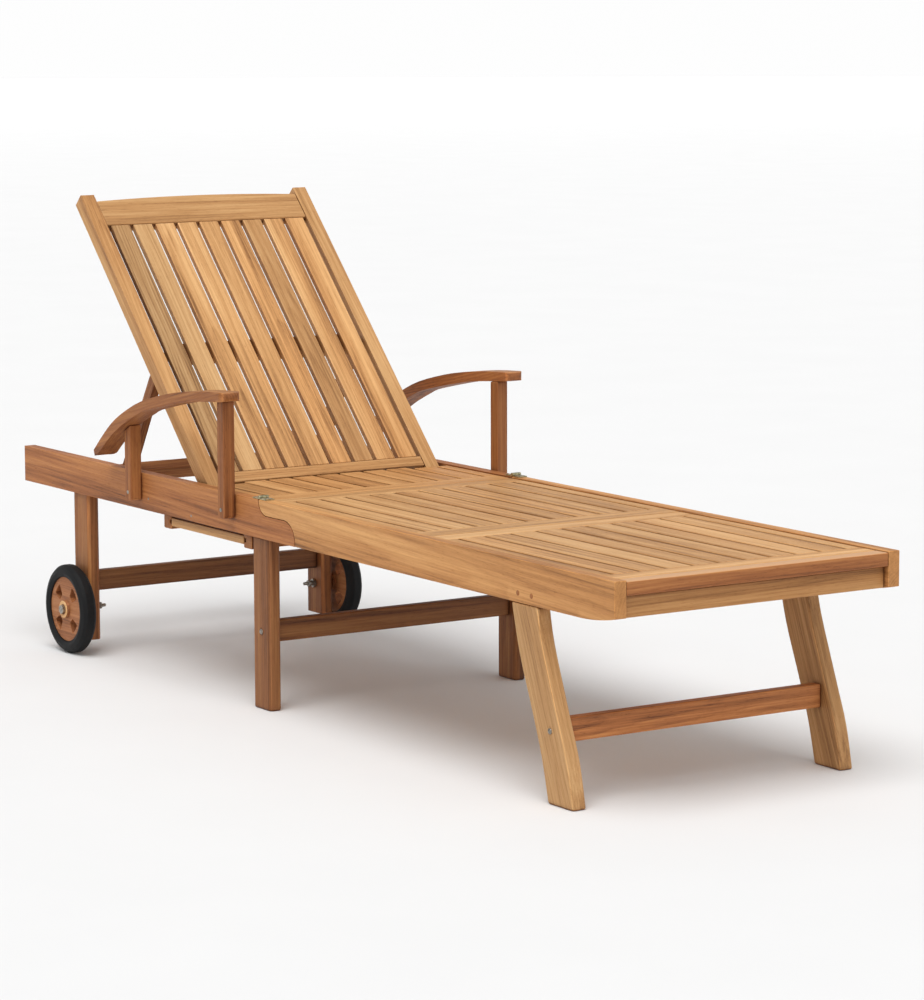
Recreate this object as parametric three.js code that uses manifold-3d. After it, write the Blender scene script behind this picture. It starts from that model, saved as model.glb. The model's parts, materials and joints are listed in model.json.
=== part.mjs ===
// A slatted teak sun lounger with a reclining back, a foot half that folds over on two butt hinges,
// fixed armrests, a pull-out tray and two wheels at the head end.
//
// Millimetres. The origin is on the ground under the middle of the side rails. +X runs to the foot
// end, +Y to the left-hand side of a person lying on it, +Z up. Each moving group holds its pieces
// in its own frame, drawn flat, and is placed by its position and rotation.

import * as THREE from "three";
import { mergeVertices } from "three/addons/utils/BufferGeometryUtils.js";
import Module from "manifold-3d";

const wasm = await Module();
wasm.setup();

// ---------------------------------------------------------------- driving dimensions

const CLEAR = 0.3; // gap between two pieces that touch
const RUNNING = 0.35; // radial clearance of a pin in its hole
const SIDES = [
  ["right", -1],
  ["left", 1],
];

// Side rails
const LENGTH = 1950;
const WIDTH = 545; // over the side rails
const RAIL_THICK = 22;
const RAIL_HEIGHT = 67;
const RAIL_TOP = 368;
const RAIL_BOTTOM = RAIL_TOP - RAIL_HEIGHT;
const RAIL_OUT = WIDTH / 2;
const RAIL_IN = RAIL_OUT - RAIL_THICK;
const END_X = LENGTH / 2;
const TOE_LIFT = 10; // how far the rail's underside curves up at the foot end
const TOE_LENGTH = 95;

// Fold joint: each rail ends in a tongue, and the two tongues lap in an S
const FOLD_X = -78;
const FOLD_Z = RAIL_TOP + 3.6; // the hinge knuckles stand on top of the rails
const LAP_GAP = 0.8;
const LAP_Z = 341;
const LAP_RADIUS_TOP = RAIL_TOP - LAP_Z;
const LAP_END_X = 44;
const LAP_RADIUS_LOW = 35;

// Seat
const SEAT_TOP = 366;
const PANEL_THICK = 20;
const PANEL_STILE = 23;
const SEAT_SLATS = 9;
const SEAT_GAP = 7;
const PANEL_OUT = RAIL_IN - CLEAR;
const HEAD_PANEL = { from: -305, to: FOLD_X - 0.8, crossFrom: null, crossTo: 44 };
const MIDDLE_PANEL = { from: FOLD_X + 0.8, to: 432.5, crossFrom: 40, crossTo: 51 };
const FOOT_PANEL = { from: 433.5, to: 944.5, crossFrom: 41, crossTo: 41 };
const BEARER = { wide: 38, height: 18 }; // a batten that ties the slats from below

// Legs
const LEG_WIDE = 60;
const LEG_THICK = 24;
const LEG_INSET = 6; // straight legs stand this far inside the rail's outer face
const STRAIGHT_IN = RAIL_OUT - LEG_INSET - LEG_THICK; // inner face of a straight leg
const LEG_CHAMFER = 5;
const MID_LEG_X = -82;
const WHEEL_LEG_X = -756;
const WHEEL_LEG_BOTTOM = 25;
const FOOT_LEG_THICK = 26;
const STRETCHER_HEIGHT = 38;
const STRETCHER_THICK = 20;
const MID_STRETCHER = { x: -81, z: 136.5 };
const WHEEL_STRETCHER = { x: -755, z: 133.5 };
const FOOT_STRETCHER = { x: 807, z: 114.5 };

// Wheels
const TYRE_RADIUS = 83.5;
const TYRE_INNER = 61;
const TYRE_WIDE = 32;
const TYRE_FACE = RAIL_OUT + 2; // inner side of the tyre
const DISC_THICK = 20;
const BOSS_RADIUS = 17;
const BOSS_PROUD = 6;
const WINDOW = { inner: 28, outer: 49, innerHalf: 7.7, outerHalf: 13.5, corner: 4 };
const AXLE_RADIUS = 5;
const HEX_RADIUS = 9;
const HEX_THICK = 5;

// Armrests and their posts
const ARM_WIDE = 40;
const ARM_IN = RAIL_OUT + 1;
const ARM_FRONT = -129;
const ARM_CORNER = 12;
const POST = 23;
const POST_FRONT = { x: -167, bottom: 326 };
const POST_REAR = { x: -510, bottom: 318 };

// Reclining back, drawn flat and turned up about the bolts through the foot of its stiles
const BACK_X = -313;
const BACK_Z = 352;
const BACK_ANGLE = 46;
const BACK_LENGTH = 687; // pivot to the top of the stiles
const BACK_TAIL = 18; // stile below the pivot
const STILE_DEEP = 28;
const STILE_WIDE = 28;
const STILE_OUT = 243;
const STILE_IN = STILE_OUT - STILE_WIDE;
const BACK_FACE = SEAT_TOP - BACK_Z; // front face above the pivot when flat
const BACK_SLATS = 9;
const BACK_SLAT_WIDE = 39;
const BACK_SLAT_THICK = 11;
const BACK_SLAT_SUNK = 1;
const BACK_RAIL_THICK = 22;
const BOTTOM_RAIL = [6.4, 29];
const TOP_RAIL = [613, 672];
const TOP_ARCH = 6.5;
const BATTEN = { from: 294, to: 334, half: 194 };

// Prop frame that holds the back up: it hangs from the stiles and stands in the notch racks
const PROP_AT = 312.3; // pivot, measured up the back
const PROP_DROP = 6; // pivot behind the line of the back's own pivot
const PROP_ANGLE = 103.5; // turned down from the back at rest
const PROP_RATIO = 2.1207; // degrees the prop turns for each degree of the back
const PROP_LENGTH = 269.6;
const PROP_DEEP = 27;
const PROP_THICK = 16;
const PROP_OUT = STILE_IN - 2;
const PROP_TAIL = 15.5;
const PROP_TAPER = 60;
const PROP_BAR = { above: 11, below: 15, half: 13 }; // the crossbar about its rod
const PROP_ROD_RADIUS = 7;
const PROP_ROD_END = 240;
const PIVOT_RADIUS = 4;

// Notch racks inside the head rails
const CROSS_RAIL = { wide: 40, top: 318 };
const RACK_THICK = 22;
const RACK_BOTTOM = 302;
const RACK_FRONT_X = -645;
const RACK_REAR_X = -915;
const RACK_REAR_DROP = 4.5;
const RACK_CLEAR = 0.5; // from the top of the rack up to the rod
const NOTCH_ANGLES = [46, 35, 25, 15, 5]; // of the back, at each notch
const NOTCH_RADIUS = 8;
const NOTCH_DROP = 3.5; // centre of a notch under the rod's path

// Pull-out tray and its runners
const TRAY_FROM = -403;
const TRAY_TO = -141;
const TRAY_FRONT_Y = -266;
const TRAY_DEEP = 400;
const TRAY_Z = [281, 297];
const TONGUE = { deep: 6, z: [286, 292] };
const RUNNER_WIDE = 27;
const RUNNER_BOTTOM = 275.5;
const RUNNER_HALF = 266;

// ---------------------------------------------------------------- materials

function finish(color, roughness, metalness = 0) {
  return new THREE.MeshStandardMaterial({ color, roughness, metalness });
}
const goldenTeak = finish(0xc79255, 0.6);
const redTeak = finish(0x9c6340, 0.6);
const rubber = finish(0x1f2326, 0.85);
const wheelBrown = finish(0xb2754a, 0.55);
const steel = finish(0x8d8b86, 0.35, 1);
const hingeBrass = finish(0x9c9678, 0.4, 1);

// ---------------------------------------------------------------- geometry helpers

// A closed geometry as a manifold-3d solid.
function solid(geometry) {
  const bare = geometry.clone();
  bare.deleteAttribute("normal");
  bare.deleteAttribute("uv");
  const merged = mergeVertices(bare, 1e-3);
  return new wasm.Manifold(
    new wasm.Mesh({
      numProp: 3,
      vertProperties: new Float32Array(merged.attributes.position.array),
      triVerts: new Uint32Array(merged.index.array),
    }),
  );
}

function geometryOf(manifold) {
  const mesh = manifold.getMesh();
  const geometry = new THREE.BufferGeometry();
  geometry.setAttribute("position", new THREE.BufferAttribute(mesh.vertProperties, 3));
  geometry.setIndex(new THREE.BufferAttribute(mesh.triVerts, 1));
  geometry.computeVertexNormals();
  return geometry;
}

function join(first, ...rest) {
  return geometryOf(rest.reduce((sum, g) => sum.add(solid(g)), solid(first)));
}

function cut(body, ...tools) {
  return geometryOf(tools.reduce((sum, g) => sum.subtract(solid(g)), solid(body)));
}

function common(a, b) {
  return geometryOf(solid(a).intersect(solid(b)));
}

// A box between two values on each axis.
function block(x, y, z) {
  const [[x0, x1], [y0, y1], [z0, z1]] = [x, y, z];
  const geometry = new THREE.BoxGeometry(x1 - x0, y1 - y0, z1 - z0);
  return geometry.translate((x0 + x1) / 2, (y0 + y1) / 2, (z0 + z1) / 2);
}

// An outline drawn in X and Z, carried from y0 to y1.
function sideways(shape, y0, y1, curveSegments = 12) {
  const options = { depth: y1 - y0, bevelEnabled: false, curveSegments };
  return new THREE.ExtrudeGeometry(shape, options).rotateX(Math.PI / 2).translate(0, y1, 0);
}

// An outline drawn in X and Y, carried from z0 to z1.
function upright(shape, z0, z1, curveSegments = 6) {
  const options = { depth: z1 - z0, bevelEnabled: false, curveSegments };
  return new THREE.ExtrudeGeometry(shape, options).translate(0, 0, z0);
}

// A round bar along Y.
function rod(radius, y0, y1, x = 0, z = 0, segments = 20) {
  const geometry = new THREE.CylinderGeometry(radius, radius, y1 - y0, segments);
  return geometry.translate(x, (y0 + y1) / 2, z);
}

// The y range of a piece that lies between two distances from the middle, on one side.
function span(side, inner, outer) {
  return side < 0 ? [-outer, -inner] : [inner, outer];
}

function polygon(points) {
  return new THREE.Shape(points.map(([x, y]) => new THREE.Vector2(x, y)));
}

function curve(points, steps) {
  const vectors = points.map(([x, y]) => new THREE.Vector2(x, y));
  return new THREE.SplineCurve(vectors).getPoints(steps).map((p) => [p.x, p.y]);
}

function group(x = 0, z = 0, degrees = 0, y = 0) {
  const made = new THREE.Group();
  made.position.set(x, y, z);
  made.rotation.y = THREE.MathUtils.degToRad(degrees);
  return made;
}

function add(parent, name, geometry, material) {
  const mesh = new THREE.Mesh(geometry, material);
  mesh.name = name;
  parent.add(mesh);
}

// ---------------------------------------------------------------- rails

function headRail(side) {
  const shape = new THREE.Shape();
  shape.moveTo(-END_X, RAIL_BOTTOM);
  shape.lineTo(LAP_END_X, RAIL_BOTTOM);
  shape.lineTo(LAP_END_X, LAP_Z - LAP_RADIUS_LOW);
  shape.absarc(LAP_END_X - LAP_RADIUS_LOW, LAP_Z - LAP_RADIUS_LOW, LAP_RADIUS_LOW, 0, Math.PI / 2);
  shape.lineTo(FOLD_X + LAP_RADIUS_TOP, LAP_Z);
  shape.absarc(
    FOLD_X + LAP_RADIUS_TOP,
    RAIL_TOP,
    LAP_RADIUS_TOP,
    -Math.PI / 2,
    -Math.PI,
    true,
  );
  shape.lineTo(-END_X, RAIL_TOP);
  const rail = sideways(shape, ...span(side, RAIL_IN, RAIL_OUT));
  const pocket = rod(PIVOT_RADIUS + CLEAR, ...span(side, RAIL_IN - 1, RAIL_IN + 12), BACK_X, BACK_Z);
  return cut(rail, pocket);
}

function footRail(side) {
  const top = LAP_RADIUS_TOP - LAP_GAP;
  const low = LAP_RADIUS_LOW + LAP_GAP;
  const shape = new THREE.Shape();
  shape.moveTo(LAP_END_X + LAP_GAP, RAIL_BOTTOM);
  shape.lineTo(END_X - TOE_LENGTH, RAIL_BOTTOM);
  shape.quadraticCurveTo(END_X - TOE_LENGTH / 2, RAIL_BOTTOM, END_X, RAIL_BOTTOM + TOE_LIFT);
  shape.lineTo(END_X, RAIL_TOP);
  shape.lineTo(FOLD_X + LAP_GAP, RAIL_TOP);
  shape.absarc(FOLD_X + LAP_RADIUS_TOP, RAIL_TOP, top, -Math.PI, -Math.PI / 2);
  shape.lineTo(LAP_END_X - LAP_RADIUS_LOW, LAP_Z + LAP_GAP);
  shape.absarc(LAP_END_X - LAP_RADIUS_LOW, LAP_Z - LAP_RADIUS_LOW, low, Math.PI / 2, 0, true);
  return sideways(shape, ...span(side, RAIL_IN, RAIL_OUT));
}

// ---------------------------------------------------------------- seat panels

// A slatted panel in one frame: slats along X between cross rails, with a stile at each edge.
function seatPanel({ from, to, crossFrom, crossTo }) {
  const z = [SEAT_TOP - PANEL_THICK, SEAT_TOP];
  const inner = PANEL_OUT - PANEL_STILE;
  const slatWide = (2 * inner - (SEAT_SLATS + 1) * SEAT_GAP) / SEAT_SLATS;
  const pieces = [block([to - crossTo, to], [-PANEL_OUT, PANEL_OUT], z)];
  if (crossFrom) pieces.push(block([from, from + crossFrom], [-PANEL_OUT, PANEL_OUT], z));
  for (const [, side] of SIDES) pieces.push(block([from, to], span(side, inner, PANEL_OUT), z));
  for (let i = 0; i < SEAT_SLATS; i++) {
    const y = -inner + SEAT_GAP + i * (slatWide + SEAT_GAP);
    pieces.push(block([from, to], [y, y + slatWide], z));
  }
  return join(...pieces);
}

function bearer(from) {
  const low = SEAT_TOP - PANEL_THICK;
  return block([from, from + BEARER.wide], [-PANEL_OUT, PANEL_OUT], [low - BEARER.height, low + 1]);
}

// The head panel has no cross rail at its head end: a bearer under the slats ties them together,
// and its corners are cut back for the foot of the stiles.
function headPanel() {
  const low = SEAT_TOP - PANEL_THICK;
  const cornerX = BACK_X + 25;
  const corners = SIDES.map(([, side]) =>
    block([HEAD_PANEL.from - 1, cornerX], span(side, STILE_IN - 2, PANEL_OUT + 1), [low - 1, SEAT_TOP + 1]),
  );
  return cut(join(seatPanel(HEAD_PANEL), bearer(cornerX + 2)), ...corners);
}

// ---------------------------------------------------------------- legs and stretchers

function straightLeg(side, x, bottom) {
  const [y0, y1] = span(side, STRAIGHT_IN, STRAIGHT_IN + LEG_THICK);
  const half = LEG_WIDE / 2;
  const c = LEG_CHAMFER;
  const outline = polygon([
    [x - half + c, y0],
    [x + half - c, y0],
    [x + half, y0 + c],
    [x + half, y1 - c],
    [x + half - c, y1],
    [x - half + c, y1],
    [x - half, y1 - c],
    [x - half, y0 + c],
  ]);
  return upright(outline, bottom, RAIL_BOTTOM - CLEAR);
}

// The foot leg leans out towards the foot end in a slight S.
function footLeg(side) {
  const top = RAIL_BOTTOM - CLEAR;
  const rear = [
    [700, top],
    [722, 221],
    [757, 135],
    [782, 68],
    [800, 0],
  ];
  const front = [
    [868, 0],
    [852, 70],
    [826, 137],
    [785, 242],
    [771, top],
  ];
  const outline = polygon([...curve(rear, 16), ...curve(front, 16)]);
  return sideways(outline, ...span(side, RAIL_OUT - FOOT_LEG_THICK, RAIL_OUT));
}

// A stretcher between two legs, tied by a bolt at each end whose head sits in the leg's face.
function stretcher({ x, z }, legInner) {
  const reach = legInner - CLEAR;
  return block(
    [x - STRETCHER_THICK / 2, x + STRETCHER_THICK / 2],
    [-reach, reach],
    [z - STRETCHER_HEIGHT / 2, z + STRETCHER_HEIGHT / 2],
  );
}

// ---------------------------------------------------------------- armrests

const ARM_TOP = [
  [-608, 401],
  [-570, 433],
  [-529, 462],
  [-480, 486],
  [-421, 508],
  [-340, 527],
  [-274, 538],
  [-205, 545.5],
  [ARM_FRONT - 6, 549.6],
];
const ARM_NOSE = [
  [ARM_FRONT - 1.8, 547.8],
  [ARM_FRONT, 544.5],
  [ARM_FRONT, 538.5],
  [ARM_FRONT - 1.5, 534.6],
];
const ARM_UNDER = [
  [ARM_FRONT - 5, 533],
  [-204, 527.5],
  [-274, 519],
  [-402, 494],
  [-444, 480],
  [-498, 457],
  [-545, 430],
  [-592, 395],
];
const ARM_HEEL = [-604, 391];
const ARM_STEPS = 22;

// Height of the arm's underside at x.
function armUnder(x) {
  const points = curve(ARM_UNDER, ARM_STEPS);
  const i = points.findIndex((p) => p[0] <= x);
  const [[x0, z0], [x1, z1]] = [points[i - 1], points[i]];
  return z0 + ((z1 - z0) * (x - x0)) / (x1 - x0);
}

function armrest(side) {
  const outline = polygon([
    ...curve(ARM_UNDER, ARM_STEPS),
    ARM_HEEL,
    ...curve(ARM_TOP, ARM_STEPS),
    ...ARM_NOSE,
  ]);
  const [y0, y1] = span(side, ARM_IN, ARM_IN + ARM_WIDE);
  const swoop = sideways(outline, y0, y1);
  const plan = new THREE.Shape();
  const r = ARM_CORNER;
  plan.moveTo(-650, y0);
  plan.lineTo(ARM_FRONT - r, y0);
  plan.absarc(ARM_FRONT - r, y0 + r, r, -Math.PI / 2, 0);
  plan.absarc(ARM_FRONT - r, y1 - r, r, 0, Math.PI / 2);
  plan.lineTo(-650, y1);
  return common(swoop, upright(plan, RAIL_TOP, 600));
}

// A post on the outside of the rail, its top cut to the arm's underside.
function armPost(side, { x, bottom }) {
  const [x0, x1] = [x - POST / 2, x + POST / 2];
  const outline = polygon([
    [x0, bottom + 4],
    [x0 + 3, bottom],
    [x1 - 3, bottom],
    [x1, bottom + 4],
    [x1, armUnder(x1) - CLEAR],
    [x, Math.min(armUnder(x), (armUnder(x0) + armUnder(x1)) / 2) - CLEAR],
    [x0, armUnder(x0) - CLEAR],
  ]);
  return sideways(outline, ...span(side, RAIL_OUT + CLEAR, RAIL_OUT + CLEAR + POST));
}

// ---------------------------------------------------------------- back

function stile(side) {
  const r = STILE_DEEP / 2;
  const shape = new THREE.Shape();
  shape.moveTo(-BACK_LENGTH, BACK_FACE - STILE_DEEP);
  shape.lineTo(BACK_TAIL - r, BACK_FACE - STILE_DEEP);
  shape.absarc(BACK_TAIL - r, BACK_FACE - r, r, -Math.PI / 2, Math.PI / 2);
  shape.lineTo(-BACK_LENGTH, BACK_FACE);
  const bar = sideways(shape, ...span(side, STILE_IN, STILE_OUT), 6);
  const bore = rod(PIVOT_RADIUS + RUNNING, ...span(side, STILE_OUT - 20, STILE_OUT + 1));
  const propBore = rod(
    PIVOT_RADIUS + RUNNING,
    ...span(side, STILE_IN - 1, STILE_IN + 14),
    -PROP_AT,
    -PROP_DROP,
  );
  return cut(bar, bore, propBore);
}

function backRail([from, to], arch) {
  const half = STILE_IN - CLEAR;
  const shape = new THREE.Shape();
  shape.moveTo(-from, -half);
  shape.lineTo(-from, half);
  shape.lineTo(-to, half);
  if (arch) shape.quadraticCurveTo(-to - 2 * arch, 0, -to, -half);
  else shape.lineTo(-to, -half);
  return upright(shape, BACK_FACE - BACK_RAIL_THICK, BACK_FACE, 12);
}

function backSlat(index) {
  const gap = (2 * STILE_IN - BACK_SLATS * BACK_SLAT_WIDE) / (BACK_SLATS + 1);
  const y = (index - (BACK_SLATS - 1) / 2) * (BACK_SLAT_WIDE + gap);
  const top = BACK_FACE - BACK_SLAT_SUNK;
  return block(
    [-(TOP_RAIL[0] - CLEAR), -(BOTTOM_RAIL[1] + CLEAR)],
    [y - BACK_SLAT_WIDE / 2, y + BACK_SLAT_WIDE / 2],
    [top - BACK_SLAT_THICK, top],
  );
}

// A batten across the back of the slats, short enough to lie between the prop's legs.
function batten() {
  const top = BACK_FACE - BACK_SLAT_SUNK - BACK_SLAT_THICK - CLEAR;
  const { from, to, half } = BATTEN;
  return block([-to, -from], [-half, half], [BACK_FACE - STILE_DEEP, top]);
}

// ---------------------------------------------------------------- prop

// One prop leg, drawn from its pivot along -X. It is slimmer at the pivot, to lie behind the slats.
function propLeg(side) {
  const half = PROP_DEEP / 2;
  const headRadius = 7.5;
  const foot = PROP_LENGTH + PROP_TAIL;
  const shape = new THREE.Shape();
  shape.moveTo(-8.5, -half);
  shape.absarc(0, 0, headRadius, -Math.PI / 3, Math.PI / 2);
  shape.lineTo(-PROP_TAPER, half);
  shape.lineTo(-foot + 5, half);
  shape.lineTo(-foot, half - 5);
  shape.lineTo(-foot, -half + 5);
  shape.lineTo(-foot + 5, -half);
  const leg = sideways(shape, ...span(side, PROP_OUT - PROP_THICK, PROP_OUT), 6);
  const pivot = rod(PIVOT_RADIUS, ...span(side, PROP_OUT - 2, STILE_IN + 12));
  const bore = rod(
    PROP_ROD_RADIUS + CLEAR,
    ...span(side, PROP_OUT - PROP_THICK - 1, PROP_OUT + 1),
    -PROP_LENGTH,
  );
  return cut(join(leg, pivot), bore);
}

// The bar across the foot of the prop, bored along its length for the rod.
function propCrossbar() {
  const reach = PROP_OUT - PROP_THICK - CLEAR;
  const { above, below, half } = PROP_BAR;
  const bar = block([-PROP_LENGTH - below, -PROP_LENGTH + above], [-reach, reach], [-half, half]);
  return cut(bar, rod(PROP_ROD_RADIUS + CLEAR, -reach - 1, reach + 1, -PROP_LENGTH));
}

// The round rod through the crossbar and both legs, whose ends stand in the racks.
function propRod() {
  return rod(PROP_ROD_RADIUS, -PROP_ROD_END, PROP_ROD_END, -PROP_LENGTH);
}

// Where the centre of the prop's rod is when the back stands at an angle.
function rodAt(backAngle) {
  const turned = THREE.MathUtils.degToRad(PROP_RATIO * (BACK_ANGLE - backAngle) - PROP_ANGLE);
  const up = THREE.MathUtils.degToRad(backAngle);
  const origin = new THREE.Vector2();
  return new THREE.Vector2(-PROP_LENGTH, 0)
    .rotateAround(origin, -turned)
    .add(new THREE.Vector2(-PROP_AT, -PROP_DROP))
    .rotateAround(origin, -up)
    .add(new THREE.Vector2(BACK_X, BACK_Z));
}

// A rack with a notch for each position of the back, its top edge just under the rod's path.
function notchRack(side) {
  const below = PROP_ROD_RADIUS + RACK_CLEAR;
  const path = [BACK_ANGLE, 34, 23, 11, 0].map(rodAt);
  const edge = path.map((p) => [p.x, p.y - below]);
  const outline = polygon([
    [RACK_REAR_X, RACK_BOTTOM],
    [RACK_FRONT_X, RACK_BOTTOM],
    [RACK_FRONT_X, edge[0][1]],
    ...edge,
    [RACK_REAR_X, edge.at(-1)[1] - RACK_REAR_DROP],
  ]);
  const y = span(side, RAIL_IN - RACK_THICK, RAIL_IN - CLEAR);
  const notches = NOTCH_ANGLES.map(rodAt).map((p) =>
    rod(NOTCH_RADIUS, y[0] - 1, y[1] + 1, p.x, p.y - NOTCH_DROP, 16),
  );
  return cut(sideways(outline, ...y), ...notches);
}

// ---------------------------------------------------------------- tray

function tray() {
  const [z0, z1] = TRAY_Z;
  const edge = 24;
  const slats = 5;
  const [x0, x1] = [TRAY_FROM + CLEAR * 2, TRAY_TO - CLEAR * 2];
  const [y0, y1] = [TRAY_FRONT_Y, TRAY_FRONT_Y + TRAY_DEEP];
  const pieces = [
    block([x0, x1], [y0, y0 + edge], TRAY_Z),
    block([x0, x1], [y1 - edge, y1], TRAY_Z),
    block([x0 - TONGUE.deep, x0 + edge], [y0 + edge / 2, y1], TONGUE.z),
    block([x1 - edge, x1 + TONGUE.deep], [y0 + edge / 2, y1], TONGUE.z),
    block([x0, x0 + edge], [y0, y1], TRAY_Z),
    block([x1 - edge, x1], [y0, y1], TRAY_Z),
  ];
  const inner = x1 - x0 - 2 * edge;
  const gap = 6;
  const wide = (inner - (slats + 1) * gap) / slats;
  for (let i = 0; i < slats; i++) {
    const x = x0 + edge + gap + i * (wide + gap);
    pieces.push(block([x, x + wide], [y0, y1], [z0 + 4, z1]));
  }
  return join(...pieces);
}

function trayRunner(from, to, grooveAt) {
  const bar = block([from, to], [-RUNNER_HALF, RUNNER_HALF], [RUNNER_BOTTOM, RAIL_BOTTOM - CLEAR]);
  const deep = TONGUE.deep + 1;
  const groove = block(
    [grooveAt - deep, grooveAt + deep],
    [-RUNNER_HALF - 1, RUNNER_HALF - 20],
    [TONGUE.z[0] - 0.6, TONGUE.z[1] + 0.6],
  );
  return cut(bar, groove);
}

// ---------------------------------------------------------------- wheels

// Everything on a wheel is turned about Y. Profiles are radius and y, from the tyre's inner side out.
function turned(profile, segments) {
  return new THREE.LatheGeometry(
    profile.map(([r, y]) => new THREE.Vector2(r, y)),
    segments,
  );
}

function tyre() {
  const c = 5;
  const profile = [
    [TYRE_INNER, 3],
    [TYRE_RADIUS - 14, 0],
    [TYRE_RADIUS - c, 3],
    [TYRE_RADIUS, 9],
    [TYRE_RADIUS, TYRE_WIDE - 9],
    [TYRE_RADIUS - c, TYRE_WIDE - 3],
    [TYRE_RADIUS - 14, TYRE_WIDE],
    [TYRE_INNER, TYRE_WIDE - 3],
    [TYRE_INNER, 3],
  ];
  return turned(profile, 40);
}

// One window of the disc, wider towards the rim, with rounded corners.
function discWindow() {
  const { inner, outer, innerHalf, outerHalf, corner } = WINDOW;
  const shape = new THREE.Shape();
  shape.moveTo(corner - innerHalf, inner);
  shape.lineTo(innerHalf - corner, inner);
  shape.quadraticCurveTo(innerHalf, inner, innerHalf + 1, inner + corner);
  shape.lineTo(outerHalf - 1, outer - corner);
  shape.quadraticCurveTo(outerHalf, outer, outerHalf - corner, outer);
  shape.quadraticCurveTo(0, outer + 2, corner - outerHalf, outer);
  shape.quadraticCurveTo(-outerHalf, outer, 1 - outerHalf, outer - corner);
  shape.lineTo(-innerHalf - 1, inner + corner);
  shape.quadraticCurveTo(-innerHalf, inner, corner - innerHalf, inner);
  return sideways(shape, 0, TYRE_WIDE, 4);
}

// A disc with four windows and a boss that stands out on the outer side.
function wheelDisc() {
  const y0 = (TYRE_WIDE - DISC_THICK) / 2;
  const y1 = y0 + DISC_THICK;
  const bore = AXLE_RADIUS + RUNNING;
  const profile = [
    [bore, 1],
    [BOSS_RADIUS, 1],
    [BOSS_RADIUS, y0],
    [TYRE_INNER - CLEAR, y0],
    [TYRE_INNER - CLEAR, y1],
    [BOSS_RADIUS, y1],
    [BOSS_RADIUS - 1, y1 + BOSS_PROUD],
    [bore, y1 + BOSS_PROUD],
    [bore, 1],
  ];
  const windows = [0, 1, 2, 3].map((i) => discWindow().rotateY(Math.PI / 4 + (i * Math.PI) / 2));
  return cut(turned(profile, 40), ...windows);
}

// The bolt a wheel turns on: a hexagon head outside the boss, and a nut inside the leg.
function axleBolt() {
  const headAt = (TYRE_WIDE + DISC_THICK) / 2 + BOSS_PROUD + CLEAR;
  const legIn = -(TYRE_FACE - STRAIGHT_IN) - CLEAR;
  return join(
    rod(AXLE_RADIUS, legIn - HEX_THICK - 6, headAt + 1),
    rod(HEX_RADIUS, headAt, headAt + HEX_THICK, 0, 0, 6),
    rod(HEX_RADIUS, legIn - HEX_THICK, legIn, 0, 0, 6),
  );
}

// ---------------------------------------------------------------- fold hinges

const LEAF = { wide: 18, long: 20, thick: 2, barrel: 3.2, pin: 1.5, middle: 6 };

// Drawn about the pin, with the leaf running to +X or -X. The foot leaf carries the pin.
function hingeLeaf(direction) {
  const { wide, long, thick, barrel, pin, middle } = LEAF;
  const z0 = RAIL_TOP + CLEAR - FOLD_Z;
  const half = wide / 2;
  const plateX = direction > 0 ? [2, long + 2] : [-long - 2, -2];
  const plate = block(plateX, [-half, half], [z0, z0 + thick]);
  const slot = (a, b) => block([-barrel - 1, barrel + 1], [a, b], [z0 - 1, barrel + 1]);
  if (direction > 0) {
    const pieces = cut(plate, slot(-half - 1, -middle / 2), slot(middle / 2, half + 1));
    return join(pieces, rod(barrel, -middle / 2, middle / 2), rod(pin, -half, half, 0, 0, 12));
  }
  const edge = middle / 2 + CLEAR;
  const barrels = join(
    cut(plate, slot(-edge, edge)),
    rod(barrel, -half, -edge),
    rod(barrel, edge, half),
  );
  return cut(barrels, rod(pin + RUNNING, -half - 1, half + 1, 0, 0, 12));
}

// ---------------------------------------------------------------- assembly

const lounger = new THREE.Group();
const headFrame = group();
const footFrame = group();
const back = group(BACK_X, BACK_Z, BACK_ANGLE);
const prop = group(-PROP_AT, -PROP_DROP, -PROP_ANGLE);
const trayGroup = group();
back.add(prop);
lounger.add(headFrame, footFrame, back, trayGroup);

const boardZ = [SEAT_TOP - 22, SEAT_TOP];

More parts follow.
